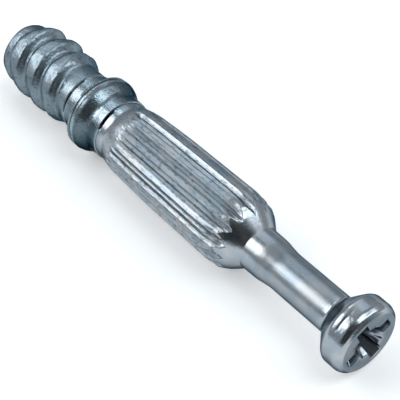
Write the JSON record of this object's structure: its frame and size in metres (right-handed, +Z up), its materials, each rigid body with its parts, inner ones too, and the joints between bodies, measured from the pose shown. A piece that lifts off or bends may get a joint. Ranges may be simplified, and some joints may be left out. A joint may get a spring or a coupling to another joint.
{
  "type": "cam dowel",
  "caption": "Steel cam dowel for flat-pack furniture: coarse screw thread, thin collar, ribbed body, plain shank and a round head with a cross recess.",
  "frame": {"origin": "on the ground under the middle of the length, below the axis", "axes": "+X along the dowel's axis from the thread tip to the head, +Z up, the dowel lies on its side"},
  "size_m": [0.0436, 0.007, 0.007],
  "materials": {
    "zinc_plate": "bright bluish zinc plate on cold-formed steel"
  },
  "bodies": {
    "root": {"dowel": "zinc_plate"}
  },
  "joints": []
}
